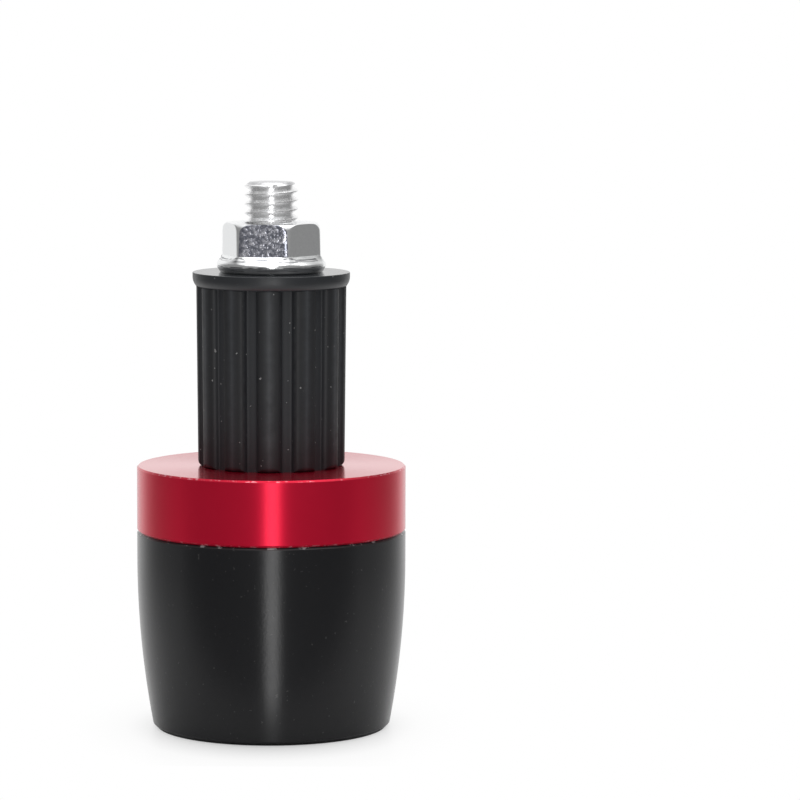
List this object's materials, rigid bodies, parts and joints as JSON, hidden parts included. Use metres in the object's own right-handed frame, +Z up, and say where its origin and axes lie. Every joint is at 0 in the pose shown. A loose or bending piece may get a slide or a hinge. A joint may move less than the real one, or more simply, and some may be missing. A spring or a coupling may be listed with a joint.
{
  "type": "bar end weight",
  "caption": "Turned two-tone handlebar end weight with a ribbed rubber plug that a bolt and flange nut squeeze to grip the bar's bore.",
  "frame": {"origin": "centre of the standing rim, on the plane that the open end of the barrel stands on", "axes": "+Z up the bolt's axis, from the barrel's open end towards the bolt's end; -Y towards the picture's camera, +X to its right"},
  "size_m": [0.03, 0.03, 0.061],
  "materials": {
    "black_anodised": "turned, satin black anodised",
    "red_anodised": "turned, bright red anodised",
    "sleeve_rubber": "moulded, matt with a slight sheen",
    "bolt_zinc": "rolled thread, bright zinc plated",
    "nut_zinc": "cold formed, bright zinc plated"
  },
  "bodies": {
    "weight": {"barrel": "black_anodised", "accent_ring": "red_anodised", "rubber_sleeve": "sleeve_rubber"},
    "bolt": {"clamp_bolt": "bolt_zinc"},
    "nut": {"flange_nut": "nut_zinc"}
  },
  "joints": [
    {"name": "bolt_turn", "type": "hinge", "parent": "weight", "child": "bolt", "pos_m": [0, 0, 0.011], "axis": [0, 0, 1], "range_deg": [0, 1170]},
    {"name": "nut_travel", "type": "slide", "parent": "weight", "child": "nut", "axis": [0, 0, 1], "range_m": [-0.00325, 0], "deforming": ["rubber_sleeve"]}
  ],
  "couplings": [
    {"joint": "bolt_turn", "follows": "nut_travel", "rad_per_m": -6283.2}
  ]
}
